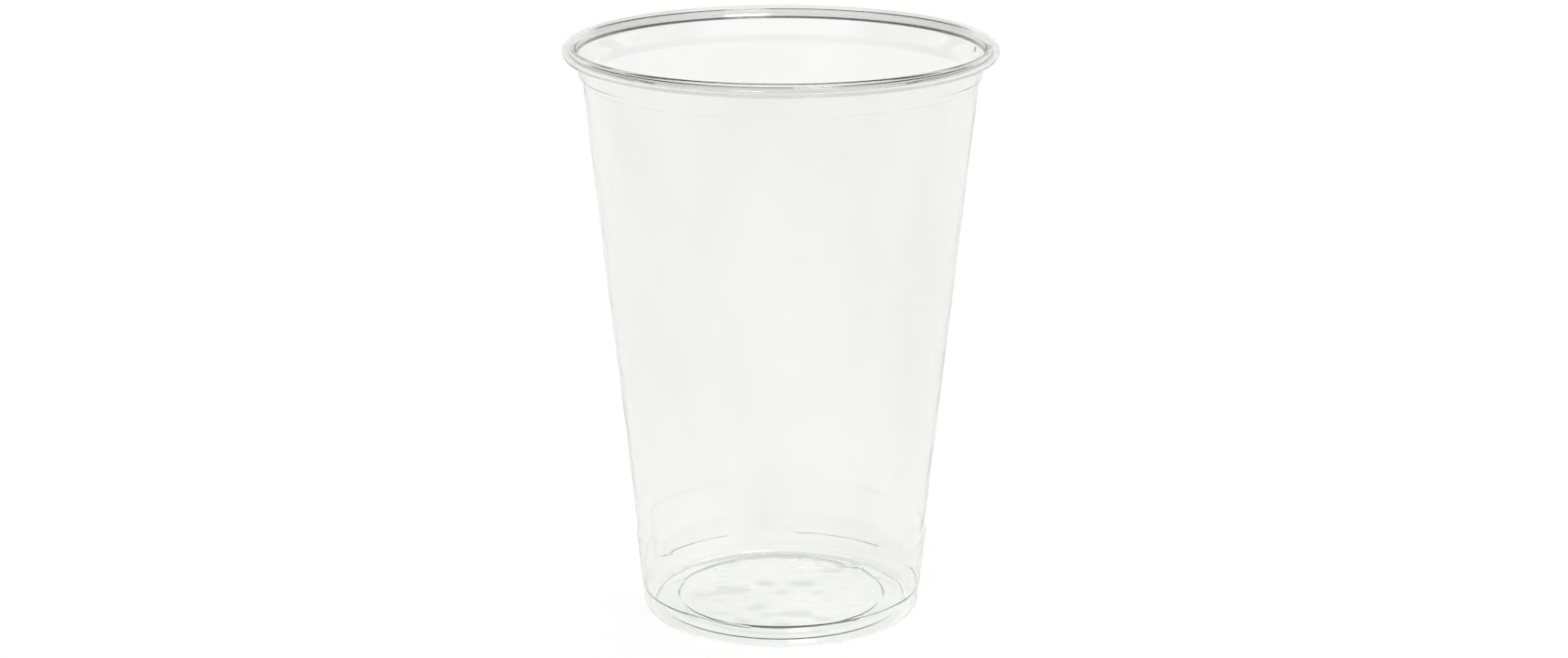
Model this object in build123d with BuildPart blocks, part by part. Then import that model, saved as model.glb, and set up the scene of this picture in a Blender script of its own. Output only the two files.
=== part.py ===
"""A clear disposable cup, thermoformed in one piece from a single sheet of plastic.

Millimetres, +Z up. The origin is the centre of the standing ring, so the cup
stands on z = 0 with its axis on Z. The sheet is the space between two forms:
the outside of the cup, and the same form moved in by one wall.
"""
from build123d import *
import os
from math import cos, degrees, radians, sin, tan

# --- overall sizes ---------------------------------------------------------
CUP_HEIGHT = 129.0        # standing ring to the top of the rolled rim
RIM_RADIUS = 47.5         # outside of the rolled rim
FOOT_RADIUS = 31.1        # outside of the upright foot
WALL = 0.36               # sheet thickness after forming
EDGE_ROUND = 0.3          # rounding inside the folds of the sheet

# --- rolled rim and the lip band under it ----------------------------------
BEAD_RADIUS = 1.5         # outside radius of the curl's round section
CURL_SLOT = 48.0          # angle of open slot between the curl's end and the lip band
LIP_FLARE = 12.5          # lean of the lip band away from the axis, degrees
LIP_DROP = 6.5            # top of the rim down to the lower edge of the lip band
LIP_STEP = 0.8            # how far the wall steps in under the lip band
LIP_STEP_HEIGHT = 1.4     # height over which it steps in

# --- stacking panels: pads in the wall that catch the next cup down --------
LEDGE_HEIGHT = 5.2        # underside of the panels
PANEL_COUNT = 5
PANEL_ANGLE = 46.0        # how far round each panel reaches
PANEL_FIRST = -9.0        # middle of the first panel, degrees from +X
PANEL_PROUD = 0.42        # how far a panel stands out of the cone
PANEL_TOP = 18.6          # where the panel's shoulder meets the cone
PANEL_SHOULDER = 2.4      # height of that shoulder
CONE_STEP = 0.12          # cone's overhang over the foot between the panels

# --- foot and base ---------------------------------------------------------
HEEL_RADIUS = 1.5         # outer rounding at the bottom of the foot
RING_WIDTH = 1.0          # standing ring, between the heel and the ring's inner side
RING_SLOPE = 0.8          # run of that inner side
BASE_RISE = 1.0           # height of the base just inside the ring
BASE_MARGIN = 4.1         # low band between the ring and the raised middle of the base
BASE_PANEL_STEP = 0.8     # how far that middle is raised
BASE_PANEL_RUN = 0.6      # run of its edge
BASE_DISH = 0.3           # further rise to the centre

# --- worked out from these -------------------------------------------------
flare = radians(LIP_FLARE)
bead_centre_r = RIM_RADIUS - BEAD_RADIUS
bead_centre_z = CUP_HEIGHT - BEAD_RADIUS
# the lip band runs straight into the curl at this point of the mouth side
tangent_r = bead_centre_r - BEAD_RADIUS * cos(flare)
tangent_z = bead_centre_z + BEAD_RADIUS * sin(flare)
lip_wall = WALL / cos(flare)
lip_z = CUP_HEIGHT - LIP_DROP
lip_r = tangent_r + lip_wall - (tangent_z - lip_z) * tan(flare)
cone_top_r = lip_r - LIP_STEP
cone_top_z = lip_z - LIP_STEP_HEIGHT
cone_foot_r = FOOT_RADIUS + CONE_STEP
cone_slope = (cone_top_r - cone_foot_r) / (cone_top_z - LEDGE_HEIGHT)
ring_inner_r = FOOT_RADIUS - HEEL_RADIUS - RING_WIDTH
base_edge_r = ring_inner_r - RING_SLOPE
base_panel_r = base_edge_r - BASE_MARGIN
base_panel_z = BASE_RISE + BASE_PANEL_STEP
# the panel's hollow is narrower than its outside by one wall at each end
panel_end = degrees(WALL / FOOT_RADIUS)


def cone_r(z):
    """Outside radius of the plain cone at height z."""
    return cone_foot_r + (z - LEDGE_HEIGHT) * cone_slope


def outline(corners):
    """Closed outline through (point, rounding) pairs."""
    points = [point for point, _ in corners]
    rounds = [rounding for _, rounding in corners]
    FilletPolyline(*points, radius=rounds, close=True)


def form_outline(inset):
    """Half section of the cup's form, moved in by `inset`, up to the curl.

    A fold that bulges towards the inside grows rounder as the form moves in,
    and a fold that bulges towards the outside grows tighter.
    """
    hollow = EDGE_ROUND + inset
    crown = EDGE_ROUND + WALL - inset
    mitre = inset / 2
    outline([
        ((0, base_panel_z + BASE_DISH + inset), 0),
        ((base_panel_r - BASE_PANEL_RUN + mitre, base_panel_z + inset), hollow),
        ((base_panel_r + mitre, BASE_RISE + inset), crown),
        ((base_edge_r + mitre, BASE_RISE + inset), hollow),
        ((ring_inner_r + mitre, inset), crown),
        ((FOOT_RADIUS - inset, inset), HEEL_RADIUS - inset),
        ((FOOT_RADIUS - inset, LEDGE_HEIGHT), 0),
        ((cone_foot_r - inset, LEDGE_HEIGHT), 0),
        ((cone_top_r - inset, cone_top_z), hollow),
        ((lip_r - inset / cos(flare), lip_z), crown),
        ((tangent_r + lip_wall - inset / cos(flare), tangent_z), 0),
        ((0, tangent_z), 0),
    ])


def curl_outline():
    """Half section of the rolled rim: most of a ring, open beside the lip band."""
    centre = (bead_centre_r, bead_centre_z)
    start = 180 - LIP_FLARE
    sweep = 360 - LIP_FLARE - CURL_SLOT
    outer = CenterArc(centre, BEAD_RADIUS, start, -sweep)
    inner = CenterArc(centre, BEAD_RADIUS - WALL, start, -sweep)
    Line(outer @ 0, inner @ 0)
    Line(outer @ 1, inner @ 1)


def panel_outline(inset):
    """Half section of a stacking panel: a pad on the cone, rooted inside the wall."""
    root = 1.5 * WALL + inset
    floor_z = LEDGE_HEIGHT + inset
    shoulder_z = PANEL_TOP - PANEL_SHOULDER
    face = PANEL_PROUD - inset
    outline([
        ((cone_r(floor_z) - root, floor_z), 0),
        ((cone_r(floor_z) + face, floor_z), EDGE_ROUND),
        ((cone_r(shoulder_z) + face, shoulder_z), PANEL_SHOULDER),
        ((cone_r(PANEL_TOP) - inset, PANEL_TOP), 0),
        ((cone_r(PANEL_TOP) - root, PANEL_TOP), 0),
    ])


# --- a stacking panel's outside and the hollow behind it -------------------
with BuildPart() as panel_outside:
    with BuildSketch(Plane.XZ):
        with BuildLine():
            panel_outline(0)
        make_face()
    revolve(axis=Axis.Z, revolution_arc=PANEL_ANGLE)

with BuildPart() as panel_hollow:
    with BuildSketch(Plane.XZ):
        with BuildLine():
            panel_outline(WALL)
        make_face()
    revolve(axis=Axis.Z, revolution_arc=PANEL_ANGLE - 2 * panel_end)

# --- the cup ---------------------------------------------------------------
panel_start = PANEL_FIRST - PANEL_ANGLE / 2
with BuildPart() as cup:
    with BuildSketch(Plane.XZ):
        with BuildLine():
            form_outline(0)
        make_face()
        with BuildLine():
            form_outline(WALL)
        make_face(mode=Mode.SUBTRACT)
        with BuildLine():
            curl_outline()
        make_face()
    revolve(axis=Axis.Z)
    with PolarLocations(0, PANEL_COUNT, start_angle=panel_start):
        add(panel_outside.part)
    with PolarLocations(0, PANEL_COUNT, start_angle=panel_start + panel_end):
        add(panel_hollow.part, mode=Mode.SUBTRACT)

cup.part.label = "cup"
os.makedirs("parts", exist_ok=True)
export_step(cup.part, "parts/cup.step")
box = cup.part.bounding_box()
print("cup", "solids", len(cup.solids()), "valid", cup.part.is_valid, "volume", round(cup.part.volume, 1))
print("box", box.min, box.max)
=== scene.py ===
# %% [markdown]
# # A clear disposable cup
# A thin clear cup is one sheet of plastic, pressed into a mould while it is hot. Nothing is
# added to it, so the whole lesson is about one sheet: its line, its folds and its finish.
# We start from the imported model, which says where the real cup is and how big it is.

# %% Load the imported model
import bpy
from math import atan2, cos, degrees, hypot, pi, radians, sin, tan
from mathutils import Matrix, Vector, noise


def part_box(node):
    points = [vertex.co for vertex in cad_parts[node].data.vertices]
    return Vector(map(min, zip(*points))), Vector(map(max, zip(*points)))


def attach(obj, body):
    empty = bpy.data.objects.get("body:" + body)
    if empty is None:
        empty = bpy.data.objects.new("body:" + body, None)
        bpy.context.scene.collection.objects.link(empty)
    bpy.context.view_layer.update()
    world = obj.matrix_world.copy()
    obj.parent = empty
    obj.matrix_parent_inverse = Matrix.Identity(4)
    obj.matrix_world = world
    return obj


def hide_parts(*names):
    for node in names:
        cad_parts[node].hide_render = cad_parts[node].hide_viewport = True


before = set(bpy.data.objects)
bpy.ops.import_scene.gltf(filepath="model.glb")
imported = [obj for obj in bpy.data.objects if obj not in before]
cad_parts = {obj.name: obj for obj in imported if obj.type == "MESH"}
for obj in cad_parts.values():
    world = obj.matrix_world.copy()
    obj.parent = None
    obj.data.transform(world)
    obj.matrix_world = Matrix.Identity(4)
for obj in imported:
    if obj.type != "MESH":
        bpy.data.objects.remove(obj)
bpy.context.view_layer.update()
MM = 0.001
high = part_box("cup")[1]
cup_height = high.z / MM
rim_radius = high.x / MM
print(f"the cup is {cup_height:.1f} mm tall and {2 * rim_radius:.1f} mm across its rim")

# %% [markdown]
# ## The line of the sheet
# Cut in half, the cup is one long thin line: along the base, round the heel, up the wall and
# over into the rolled rim. It could be drawn as a curve object, but a plain list of points is
# easier to push about later. We draw the middle of the sheet, in millimetres, and give it its
# thickness at the end. Real folds are never sharp, so each corner of the line is rounded.

# %% Sizes of the sheet and its folds
WALL = 0.36               # thickness of the sheet
HALF = WALL / 2
RIM_WALL = 0.95           # the rolled rim is stretched least, so it stays thickest
FOLD = 0.48               # rounding of a small fold, along the middle of the sheet
TIGHT_FOLD = 0.26         # rounding of the folds that the mould presses sharpest
FOOT_RADIUS = 31.1
HEEL_RADIUS = 1.5
RING_WIDTH = 1.0
RING_SLOPE = 0.8
BASE_RISE = 1.0
BASE_PANEL_RADIUS = 23.7
BASE_PANEL_STEP = 0.8
BASE_PANEL_RUN = 0.6
BASE_DISH = 0.3
LEDGE_HEIGHT = 5.2
CONE_STEP = 0.12
LIP_DROP = 6.5
LIP_STEP = 0.8
LIP_STEP_HEIGHT = 1.4
LIP_FLARE = radians(12.5)
BEAD_RADIUS = 1.5
CURL_SLOT = radians(48)

bead_r = rim_radius - BEAD_RADIUS
bead_z = cup_height - BEAD_RADIUS
curl_radius = BEAD_RADIUS - RIM_WALL / 2
curl_start = (bead_r - curl_radius * cos(LIP_FLARE), bead_z + curl_radius * sin(LIP_FLARE))
lip_z = cup_height - LIP_DROP
lip_r = curl_start[0] - (curl_start[1] - lip_z) * tan(LIP_FLARE)
cone_top_z = lip_z - LIP_STEP_HEIGHT
cone_top_r = lip_r - LIP_STEP
cone_foot_r = FOOT_RADIUS + CONE_STEP - HALF
ring_r = FOOT_RADIUS - HEEL_RADIUS - RING_WIDTH
base_panel_z = BASE_RISE + BASE_PANEL_STEP
lean = degrees(atan2(cone_top_r - cone_foot_r, cone_top_z - LEDGE_HEIGHT))
print(f"the wall leans {lean:.1f} degrees")

# %% [markdown]
# ## The corners
# Each row holds a corner of the line as (radius, height), its rounding, and how far apart the
# points lie on the way to it. Flat stretches need few points. The ledge and the wall behind
# the stacking panels need many, because they are pushed out later.

# %% The corners of the line
FIRST_RISE = 1.0          # just above the ledge the points are closest
FIRST_OUT = 0.08
PANEL_RISE = 14.5         # height above the ledge that takes in the panels
PANEL_OUT = 1.42
corners = [
    ((0, base_panel_z + BASE_DISH + HALF), 0, 1.2),
    ((BASE_PANEL_RADIUS - BASE_PANEL_RUN + HALF / 2, base_panel_z + HALF), TIGHT_FOLD, 1.0),
    ((BASE_PANEL_RADIUS + HALF / 2, BASE_RISE + HALF), TIGHT_FOLD, 0.2),
    ((ring_r - RING_SLOPE + HALF / 2, BASE_RISE + HALF), FOLD, 0.8),
    ((ring_r + HALF / 2, HALF), FOLD, 0.25),
    ((FOOT_RADIUS - HALF, HALF), HEEL_RADIUS - HALF, 0.3),
    ((FOOT_RADIUS - HALF, LEDGE_HEIGHT), 0, 0.7),
    ((cone_foot_r, LEDGE_HEIGHT + HALF), 0, 0.1),
    ((cone_foot_r + FIRST_OUT, LEDGE_HEIGHT + FIRST_RISE), 0, 0.1),
    ((cone_foot_r + PANEL_OUT, LEDGE_HEIGHT + PANEL_RISE), 0, 0.7),
    ((cone_top_r, cone_top_z), TIGHT_FOLD, 2.4),
    ((lip_r, lip_z), FOLD, 0.3),
    (curl_start, 0, 0.4),
]
print(f"{len(corners)} corners, from the middle of the base to the rolled rim")

# %% [markdown]
# ## Rounding the corners
# A bevel modifier could round the finished mesh, but it rounds both faces of the sheet with
# the same radius, which real sheet doesn't do. An arc in the middle line gives the outside of
# each fold a larger radius than the inside.

# %% Draw the line
ARC_TURN = 12             # degrees of turn for each step of a rounding
LEAST_STEPS = 4
CURL_STEPS = 40


def between(a, b, step):
    """Points from a towards b, without b."""
    count = max(1, round(hypot(b[0] - a[0], b[1] - a[1]) / step))
    return [
        (a[0] + (b[0] - a[0]) * i / count, a[1] + (b[1] - a[1]) * i / count)
        for i in range(count)
    ]


def arc(centre, radius, start, end, steps):
    """Points of an arc, both ends included."""
    turns = [start + (end - start) * i / steps for i in range(steps + 1)]
    return [(centre[0] + radius * cos(a), centre[1] + radius * sin(a)) for a in turns]


def rounded_corner(before, corner, after, radius):
    """The arc that replaces a corner of the line."""
    p, a, b = Vector(corner), Vector(before), Vector(after)
    u, v = (a - p).normalized(), (b - p).normalized()
    half_angle = u.angle(v) / 2
    centre = p + (u + v).normalized() * (radius / sin(half_angle))
    first = p + u * (radius / tan(half_angle)) - centre
    last = p + v * (radius / tan(half_angle)) - centre
    start = atan2(first.y, first.x)
    turn = first.angle_signed(last)
    steps = max(LEAST_STEPS, round(degrees(abs(turn)) / ARC_TURN))
    return arc(centre, radius, start, start - turn, steps)


line = [corners[0][0]]
for index in range(1, len(corners)):
    (point, rounding, step) = corners[index]
    if rounding:
        bend = rounded_corner(corners[index - 1][0], point, corners[index + 1][0], rounding)
    else:
        bend = [point]
    line += between(line[-1], bend[0], step)[1:] + bend
curl_index = len(line)
line += arc((bead_r, bead_z), curl_radius, pi - LIP_FLARE, CURL_SLOT - pi, CURL_STEPS)[1:]
print(f"the sheet's line has {len(line)} points")

# %% [markdown]
# ## Stacking panels
# Near the foot the wall is pressed out into five shallow pads. Their undersides catch the next
# cup in a stack, so that the cups don't jam. Such pads could be cut in with booleans, but a
# mould draws hot plastic into soft shapes, so we push the points of the sheet outwards by a
# smooth amount instead.

# %% How far a panel pushes the wall out
PANEL_COUNT = 5
PANEL_PITCH = 360 / PANEL_COUNT
PANEL_ANGLE = 46.0
PANEL_FIRST = -9.0
PANEL_END = 9.0           # degrees over which a panel's end fades
PANEL_PROUD = 0.42
PANEL_TOP = 18.6
PANEL_SHOULDER = 1.5
FIRST_SHOULDER = 0.8      # one panel has a sharper shoulder than the rest


def ease(value, start, end):
    """0 before start, 1 after end, smooth between."""
    t = min(1, max(0, (value - start) / (end - start)))
    return t * t * (3 - 2 * t)


def off_panel_middle(angle):
    """Degrees from the middle of the nearest panel."""
    return abs((angle - PANEL_FIRST + PANEL_PITCH / 2) % PANEL_PITCH - PANEL_PITCH / 2)


def on_first_panel(angle):
    """Whether the nearest panel is the first one."""
    return abs((angle - PANEL_FIRST + 180) % 360 - 180) < PANEL_PITCH / 2


def panel_push(angle, z):
    """How far the wall stands out at a panel, in millimetres."""
    from_middle = off_panel_middle(angle)
    side = 1 - ease(from_middle, PANEL_ANGLE / 2 - PANEL_END / 2, PANEL_ANGLE / 2 + PANEL_END / 2)
    under = ease(z, LEDGE_HEIGHT, LEDGE_HEIGHT + WALL)
    shoulder_height = FIRST_SHOULDER if on_first_panel(angle) else PANEL_SHOULDER
    shoulder = 1 - ease(z, PANEL_TOP - shoulder_height, PANEL_TOP)
    return PANEL_PROUD * side * under * shoulder


print(f"{PANEL_COUNT} panels, each {PANEL_ANGLE:.0f} degrees wide and {PANEL_PROUD} mm proud")

# %% [markdown]
# ## Small unevenness
# Hot sheet never cools quite even: the raised base is wavy and the tall wall very slightly so.
# A displace modifier could do this over the whole cup. A noise that we fade out ourselves
# leaves the folds, the foot and the rim true.

# %% Waves of the base and the wall
BASE_WAVE = 0.42          # height of the base's waves
BASE_WAVE_LENGTH = 4.6
BASE_WAVE_LAYER = 3.0     # where the noise is cut
BASE_WAVE_FADE = (4, 1.2)     # from the panel's edge, where the waves start and end fading
WALL_WAVE = 0.05
WALL_WAVE_LENGTH = 30.0
WALL_WAVE_FADE = 15


def base_wave(x, y):
    """Waves of the raised base, which die out before its edge."""
    fade_from, fade_to = BASE_WAVE_FADE
    fade = 1 - ease(hypot(x, y), BASE_PANEL_RADIUS - fade_from, BASE_PANEL_RADIUS - fade_to)
    return BASE_WAVE * fade * noise.noise(Vector((x, y, BASE_WAVE_LAYER)) / BASE_WAVE_LENGTH)


def wall_wave(x, y, z):
    """A faint unevenness of the tall wall, none at the foot or the lip."""
    below_lip = 1 - ease(z, cone_top_z - WALL_WAVE_FADE, cone_top_z)
    fade = ease(z, PANEL_TOP, PANEL_TOP + WALL_WAVE_FADE) * below_lip
    return WALL_WAVE * fade * noise.noise(Vector((x, y, z)) / WALL_WAVE_LENGTH)


print(f"the base waves by up to {BASE_WAVE} mm, the wall by up to {WALL_WAVE} mm")

# %% [markdown]
# ## Where the points stand round the cup
# Even steps of two degrees look round. A panel's end is a small soft step, so we add closer
# points there and leave out the even ones that would fall beside them.

# %% The angles round the cup
EVEN_STEP = 2.0
FINE_STEP = 0.5
FINE_REACH = 3            # fine steps on each side of a panel's end
NEAR = 0.45

fine = []
for panel in range(PANEL_COUNT):
    middle = PANEL_FIRST + panel * PANEL_PITCH
    for side in (-1, 1):
        edge = middle + side * PANEL_ANGLE / 2
        fine += [(edge + FINE_STEP * step) % 360 for step in range(-FINE_REACH, FINE_REACH + 1)]


def clear_of_fine(angle):
    """Whether an angle keeps its distance from the fine ones."""
    return all(abs((angle - near + 180) % 360 - 180) > NEAR for near in fine)


even = [EVEN_STEP * step for step in range(round(360 / EVEN_STEP))]
angles = sorted(fine + [angle for angle in even if clear_of_fine(angle)])
print(f"{len(angles)} angles round the cup")

# %% [markdown]
# ## Turning the line into a cup
# A screw modifier could spin the line, but it can't push single points. So we spin it here:
# one ring of points for each point of the line, and one point at the axis, each pushed by the
# amounts above. We also note how thick the sheet is there. A stretched wall is thinner than
# the base, and the rolled rim is thicker.

# %% Spin the line
WALL_THINNING = 0.22      # share of the thickness that the wall loses halfway up
THIN_FROM = (8, 40)       # heights over which the wall thins
THICK_AGAIN = 40          # height below the lip over which it gains the thickness again
RIM_GATHER = 1.6          # below the bead's middle, where the sheet starts to thicken


def wall_at(z):
    """Thickness of the sheet at a height, the rim left out."""
    stretched = ease(z, *THIN_FROM) * (1 - ease(z, cone_top_z - THICK_AGAIN, cone_top_z))
    return WALL * (1 - WALL_THINNING * stretched)


verts = []
thick = []
for index, (r, z) in enumerate(line):
    wall = wall_at(z)
    thicken = 1 if index >= curl_index else ease(z, bead_z - RIM_GATHER, curl_start[1])
    spread = (wall + (RIM_WALL - WALL) * thicken) / RIM_WALL
    if index == 0:
        verts.append((0, 0, (z + base_wave(0, 0)) * MM))
        thick.append(spread)
        continue
    on_lip = z > cone_top_z
    for angle in angles:
        push = 0 if on_lip else panel_push(angle, z)
        x, y = r * cos(radians(angle)), r * sin(radians(angle))
        rise = base_wave(x, y) if r < BASE_PANEL_RADIUS else 0
        if z > PANEL_TOP and not on_lip:
            push += wall_wave(x, y, z)
        scale = (r + push) / r
        verts.append((x * scale * MM, y * scale * MM, (z + rise) * MM))
        thick.append(spread)
print(f"{len(verts)} points, the thinnest wall {min(thick) * RIM_WALL:.2f} mm")

# %% [markdown]
# ## Faces between the rings
# The middle of the base is a fan of triangles round one point. Everywhere else, four points of
# two neighbouring rings make a face. All faces turn the same way, which Solidify needs.

# %% Join the rings
count = len(angles)
faces = []
for k in range(count):
    faces.append((0, 1 + (k + 1) % count, 1 + k))
for ring in range(len(line) - 2):
    here = 1 + ring * count
    there = here + count
    for k in range(count):
        after = (k + 1) % count
        faces.append((here + k, here + after, there + after, there + k))
print(f"{len(faces)} faces in the middle of the sheet")

# %% [markdown]
# ## Giving the sheet its thickness
# We could draw the inside and the outside as two skins, but they have to follow each other
# everywhere. Solidify puts half of the thickness on each side of the line, so both faces
# follow every fold as in a real sheet. A vertex group tells it how thick each point is.

# %% Make the object
SHARP = radians(50)       # folds that turn less than this from face to face are shaded smooth

mesh = bpy.data.meshes.new("clear_cup")
mesh.from_pydata(verts, [], faces)
cup = bpy.data.objects.new("clear_cup", mesh)
bpy.context.scene.collection.objects.link(cup)
group = cup.vertex_groups.new(name="thickness")
for index, weight in enumerate(thick):
    group.add([index], weight, "REPLACE")

solidify = cup.modifiers.new("sheet", "SOLIDIFY")
solidify.thickness = RIM_WALL * MM
solidify.offset = 0
solidify.use_even_offset = True
solidify.vertex_group = "thickness"
bpy.context.view_layer.update()
solid = bpy.data.meshes.new_from_object(cup.evaluated_get(bpy.context.evaluated_depsgraph_get()))
cup.modifiers.clear()
cup.vertex_groups.clear()
cup.data = solid
bpy.data.meshes.remove(mesh)
solid.name = "clear_cup"
for polygon in solid.polygons:
    polygon.use_smooth = True
solid.set_sharp_from_angle(angle=SHARP)
triangles = sum(len(p.vertices) - 2 for p in solid.polygons)
print(f"the cup has {triangles} triangles")

# %% [markdown]
# ## Clear plastic
# The sheet lets light through, bends it at each face and mirrors a little of it. A Glass
# shader would do, but Principled with its transmission up keeps a little body as well, as
# thin plastic has. Thin sheet casts only a light shadow, which a path tracer makes too dark,
# so for shadow rays the material is a nearly clear Transparent shader.

# %% The sheet's shader
BENDING = 1.5             # index of refraction of clear plastic
SHADOW_TINT = (0.9, 0.91, 0.9, 1)


def node(tree, kind, operation=None):
    """A new node, with its operation where it has one."""
    made = tree.nodes.new(kind)
    if operation:
        made.operation = operation
    return made


def remap(tree, from_min, from_max, to_min, to_max):
    """A Map Range node from one span of values to another."""
    made = node(tree, "ShaderNodeMapRange")
    made.inputs["From Min"].default_value = from_min
    made.inputs["From Max"].default_value = from_max
    made.inputs["To Min"].default_value = to_min
    made.inputs["To Max"].default_value = to_max
    return made


plastic = bpy.data.materials.new("clear_sheet")
plastic.use_nodes = True
tree = plastic.node_tree
tree.nodes.clear()
link = tree.links.new
output = node(tree, "ShaderNodeOutputMaterial")
sheet = node(tree, "ShaderNodeBsdfPrincipled")
sheet.inputs["Roughness"].default_value = 0.02
sheet.inputs["IOR"].default_value = BENDING
sheet.inputs["Transmission Weight"].default_value = 0.985
clear = node(tree, "ShaderNodeBsdfTransparent")
clear.inputs["Color"].default_value = SHADOW_TINT
path = node(tree, "ShaderNodeLightPath")
shadow_mix = node(tree, "ShaderNodeMixShader")
link(path.outputs["Is Shadow Ray"], shadow_mix.inputs["Fac"])
link(sheet.outputs["BSDF"], shadow_mix.inputs[1])
link(clear.outputs["BSDF"], shadow_mix.inputs[2])
link(shadow_mix.outputs["Shader"], output.inputs["Surface"])
print(f"the sheet bends light by an index of {BENDING}")

# %% [markdown]
# ## Haze, and painted shade on the rim
# Drawn sheet isn't equally clear everywhere. It has soft grey clouds, drawn out up the wall.
# A noise that is stretched upwards mixes two tints for them. The rolled rim looks denser than
# the wall, because light crosses several layers there, so it gets a darker tint as painted shade.

# %% Tints of the sheet, with painted shade on the rim
HAZE_SCALE = 42
HAZE_DETAIL = 4
HAZE_DRAW = 0.45          # how much the clouds are drawn out upwards
HAZE_BAND = (0.32, 0.68)
HAZY = (0.920, 0.922, 0.916, 1)
CLEAREST = (0.964, 0.966, 0.960, 1)
# painted shade: a darker tint on the rolled rim, standing in for the dark lines that light draws
# there
RIM_PAINTED_SHADE = (0.87, 0.87, 0.85, 1)

place = node(tree, "ShaderNodeTexCoord")
drawn = node(tree, "ShaderNodeMapping")
drawn.inputs["Scale"].default_value = (1.0, 1.0, HAZE_DRAW)
link(place.outputs["Object"], drawn.inputs["Vector"])
cloud = node(tree, "ShaderNodeTexNoise")
cloud.inputs["Scale"].default_value = HAZE_SCALE
cloud.inputs["Detail"].default_value = HAZE_DETAIL
link(drawn.outputs["Vector"], cloud.inputs["Vector"])
haze = node(tree, "ShaderNodeValToRGB")
for stop, position, colour in zip(haze.color_ramp.elements, HAZE_BAND, (HAZY, CLEAREST)):
    stop.position = position
    stop.color = colour
link(cloud.outputs["Fac"], haze.inputs["Fac"])

# the rolled rim's mask for its painted shade, from the bottom of the bead to its middle
upright = node(tree, "ShaderNodeSeparateXYZ")
link(place.outputs["Object"], upright.inputs["Vector"])
rolled = remap(tree, (bead_z - BEAD_RADIUS) * MM, (bead_z - BEAD_RADIUS / 2) * MM, 0, 1)
link(upright.outputs["Z"], rolled.inputs["Value"])
# mixes the haze with the painted shade on the rim
tint = node(tree, "ShaderNodeMixRGB")
tint.inputs["Color2"].default_value = RIM_PAINTED_SHADE
link(rolled.outputs["Result"], tint.inputs["Fac"])
link(haze.outputs["Color"], tint.inputs["Color1"])
link(tint.outputs["Color"], sheet.inputs["Base Color"])
print(f"the rim's tint starts {(bead_z - BEAD_RADIUS):.1f} mm up")

# %% [markdown]
# ## Flow marks and vent dimples
# The surface has faint flow marks, and three tiny dimples where air left the mould. Both are
# too shallow to be worth points in the mesh, so they go into a bump: a noise for the marks,
# and for each dimple the distance from its middle.

# %% The sheet's relief
FLOW_SCALE = 90
FLOW_DETAIL = 3
FLOW_STRENGTH = 0.12
FLOW_DEPTH = 0.0004
PIPS = ((137.6, 124.1, 43.9), (83.4, 120.7, 42.8), (14.4, 125.3, 44.2))     # angle, height, radius
PIP_RADIUS = 0.75
PIP_DEPTH = 14.0          # in depths of the flow marks

flow = node(tree, "ShaderNodeTexNoise")
flow.inputs["Scale"].default_value = FLOW_SCALE
flow.inputs["Detail"].default_value = FLOW_DETAIL
link(place.outputs["Object"], flow.inputs["Vector"])
relief_height = flow.outputs["Fac"]
for turn, z, r in PIPS:
    middle = (r * cos(radians(turn)) * MM, r * sin(radians(turn)) * MM, z * MM)
    away = node(tree, "ShaderNodeVectorMath", "DISTANCE")
    link(place.outputs["Object"], away.inputs[0])
    away.inputs[1].default_value = middle
    pip = remap(tree, 0, PIP_RADIUS * MM, PIP_DEPTH, 0)
    link(away.outputs["Value"], pip.inputs["Value"])
    total = node(tree, "ShaderNodeMath", "ADD")
    link(relief_height, total.inputs[0])
    link(pip.outputs["Result"], total.inputs[1])
    relief_height = total.outputs["Value"]
relief = node(tree, "ShaderNodeBump")
relief.inputs["Strength"].default_value = FLOW_STRENGTH
relief.inputs["Distance"].default_value = FLOW_DEPTH
link(relief_height, relief.inputs["Height"])
link(relief.outputs["Normal"], sheet.inputs["Normal"])
print(f"{len(PIPS)} dimples of {PIP_RADIUS} mm radius near the rim")

# %% [markdown]
# ## The cup's place in the model
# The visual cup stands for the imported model's one piece, so it rides on the same body, takes
# its place and carries the name of its finish.

# %% Tie the cup to the model
cup.data.materials.clear()
cup.data.materials.append(plastic)
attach(cup, "root")
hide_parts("cup")
print("clear_cup stands for the cup of the packed model")

# %% [markdown]
# ## A white floor
# Clear plastic shows only what is around it, so the floor is part of its look. A plain white
# floor would need strong lamps to look white, and they would bleach the cup. So the floor is
# a mid grey that glows for the rays that look at it, through the plastic or in it. Together
# they come to white, and the cup's faint shadow stays.

# %% Floor
FLOOR_SIZE = 6.0
FLOOR_GREY = (0.6, 0.6, 0.6, 1)
FLOOR_GLOW = 0.62

bpy.ops.mesh.primitive_plane_add(size=FLOOR_SIZE)
floor = bpy.context.object
floor.name = "floor"
paint = bpy.data.materials.new("pale_floor")
paint.use_nodes = True
tree = paint.node_tree
tree.nodes.clear()
link = tree.links.new
output = node(tree, "ShaderNodeOutputMaterial")
matt = node(tree, "ShaderNodeBsdfDiffuse")
matt.inputs["Color"].default_value = FLOOR_GREY
glow = node(tree, "ShaderNodeEmission")
path = node(tree, "ShaderNodeLightPath")
seen = node(tree, "ShaderNodeMath", "MAXIMUM")
link(path.outputs["Is Camera Ray"], seen.inputs[0])
link(path.outputs["Is Transmission Ray"], seen.inputs[1])
mirrored = node(tree, "ShaderNodeMath", "MAXIMUM")
link(seen.outputs[0], mirrored.inputs[0])
link(path.outputs["Is Glossy Ray"], mirrored.inputs[1])
strength = node(tree, "ShaderNodeMath", "MULTIPLY")
strength.inputs[1].default_value = FLOOR_GLOW
link(mirrored.outputs[0], strength.inputs[0])
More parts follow.
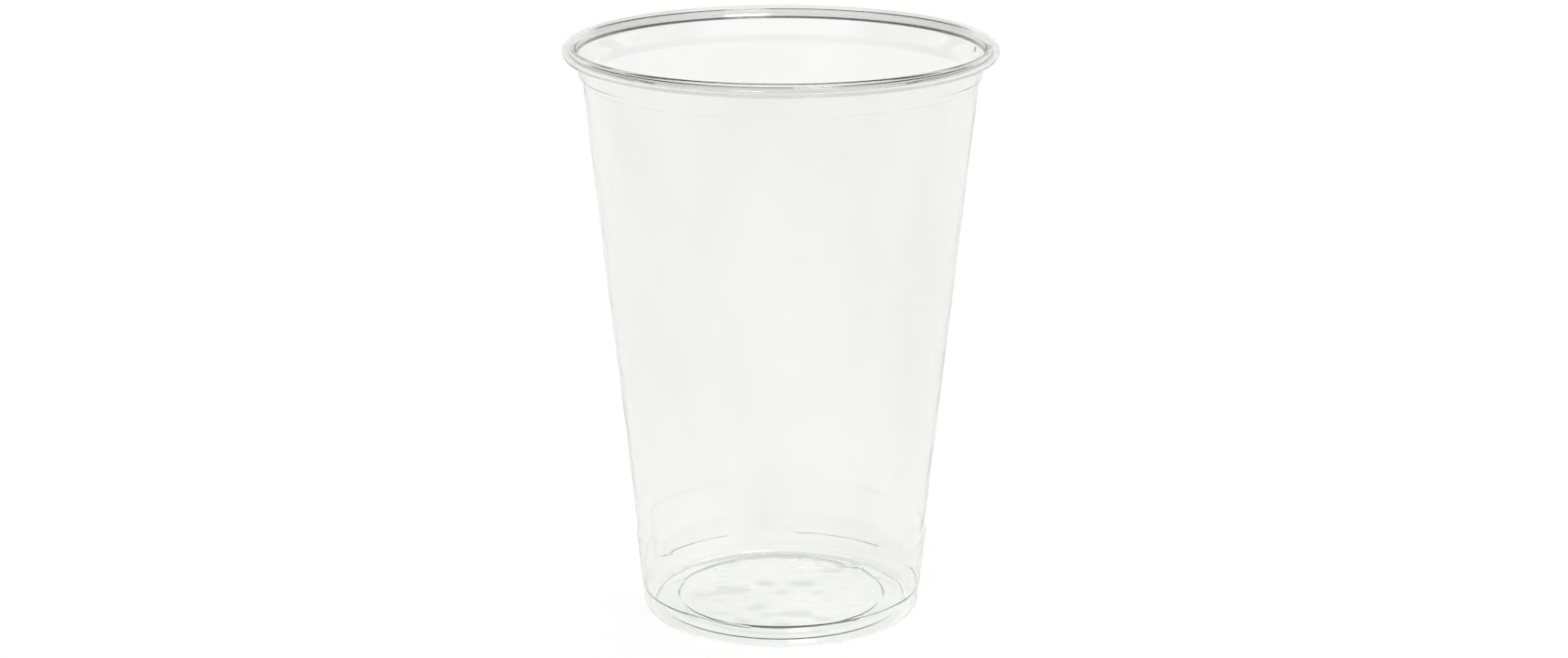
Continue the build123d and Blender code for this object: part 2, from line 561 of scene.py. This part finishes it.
link(strength.outputs[0], glow.inputs["Strength"])
both = node(tree, "ShaderNodeAddShader")
link(matt.outputs["BSDF"], both.inputs[0])
link(glow.outputs["Emission"], both.inputs[1])
link(both.outputs["Shader"], output.inputs["Surface"])
floor.data.materials.append(paint)
print(f"the floor is {FLOOR_SIZE:.0f} m wide")

# %% [markdown]
# ## The space around
# The camera sees white behind the floor. The plastic sees a room that is white low down, dark
# higher up, and white again straight overhead, with a dark card far off on each side. Clear
# things are often lit like this: the dark parts draw the rim and the folds.

# %% World
WHITE = (1, 1, 1, 1)
DARK = (0.03, 0.03, 0.03, 1)
BANDS = ((0.42, WHITE), (0.52, DARK), (0.84, DARK), (0.9, WHITE))   # upward part of the direction
CARD_SIDE = (0.62, 0.82)  # sideways part of the direction over which a card sets in
CARD_LOW = (0.08, 0.22)   # upward part over which it does
CARD_GREY = 0.1

world = bpy.data.worlds.new("pale_space")
bpy.context.scene.world = world
world.use_nodes = True
tree = world.node_tree
tree.nodes.clear()
link = tree.links.new
output = node(tree, "ShaderNodeOutputWorld")
backdrop = node(tree, "ShaderNodeBackground")
backdrop.inputs["Color"].default_value = WHITE
backdrop.inputs["Strength"].default_value = 1.0
room = node(tree, "ShaderNodeBackground")
room.inputs["Strength"].default_value = 1.0
direction = node(tree, "ShaderNodeTexCoord")
parts = node(tree, "ShaderNodeSeparateXYZ")
link(direction.outputs["Generated"], parts.inputs["Vector"])
bands = node(tree, "ShaderNodeValToRGB")
ramp = bands.color_ramp
for end in ramp.elements:
    end.color = WHITE
for position, colour in BANDS:
    stop = ramp.elements.new(position)
    stop.color = colour
link(parts.outputs["Z"], bands.inputs["Fac"])
print(f"the room has {len(ramp.elements)} stops from level to overhead")

# %% [markdown]
# ## Dark cards at the sides
# A card starts a little above the level, so that a cup seen from the side still has white
# behind it. It multiplies the room's bands, and the camera sees none of it.

# %% Side cards
sideways = node(tree, "ShaderNodeMath", "ABSOLUTE")
link(parts.outputs["X"], sideways.inputs[0])
rise = remap(tree, *CARD_LOW, 1, CARD_GREY)
link(parts.outputs["Z"], rise.inputs["Value"])
card = remap(tree, *CARD_SIDE, 1, CARD_GREY)
link(rise.outputs["Result"], card.inputs["To Max"])
link(sideways.outputs["Value"], card.inputs["Value"])
shaded = node(tree, "ShaderNodeVectorMath", "SCALE")
link(bands.outputs["Color"], shaded.inputs[0])
link(card.outputs["Result"], shaded.inputs["Scale"])
link(shaded.outputs["Vector"], room.inputs["Color"])
path = node(tree, "ShaderNodeLightPath")
mix = node(tree, "ShaderNodeMixShader")
link(path.outputs["Is Camera Ray"], mix.inputs["Fac"])
link(room.outputs["Background"], mix.inputs[1])
link(backdrop.outputs["Background"], mix.inputs[2])
link(mix.outputs["Shader"], output.inputs["Surface"])
print(f"the cards darken the room to {CARD_GREY:.0%} at its sides")

# %% [markdown]
# ## Lamp
# One soft light from above, a little to the side, puts the bright spots on the rim and the
# folds. An area lamp would do as well; a wide sun is even over the whole cup.

# %% Lamp
LAMP_STRENGTH = 0.9
LAMP_WIDTH = radians(20)
LAMP_LEAN = (radians(25), radians(15), 0)

lamp = bpy.data.lights.new("overhead_softbox", "SUN")
lamp.energy = LAMP_STRENGTH
lamp.angle = LAMP_WIDTH
softbox = bpy.data.objects.new("overhead_softbox", lamp)
softbox.rotation_euler = LAMP_LEAN
bpy.context.scene.collection.objects.link(softbox)
print(f"the lamp is {degrees(LAMP_WIDTH):.0f} degrees wide")

# %% [markdown]
# ## Camera
# The camera stands a little above the mouth and looks slightly down, from so near that the
# base shows more of its ellipse than the rim does.

# %% Camera
CAMERA_PLACE = (0.0007, -0.6761, 0.2561)
CAMERA_DOWN = 15.85       # degrees below the level
SENSOR = 36
LENS = 72.4

camera_data = bpy.data.cameras.new("camera")
camera_data.sensor_width = SENSOR
camera_data.lens = LENS
camera = bpy.data.objects.new("camera", camera_data)
camera.location = CAMERA_PLACE
camera.rotation_euler = (radians(90 - CAMERA_DOWN), 0, 0)
bpy.context.scene.collection.objects.link(camera)
bpy.context.scene.camera = camera
bpy.context.scene.view_settings.view_transform = "Standard"
print(f"the camera looks {CAMERA_DOWN} degrees down")
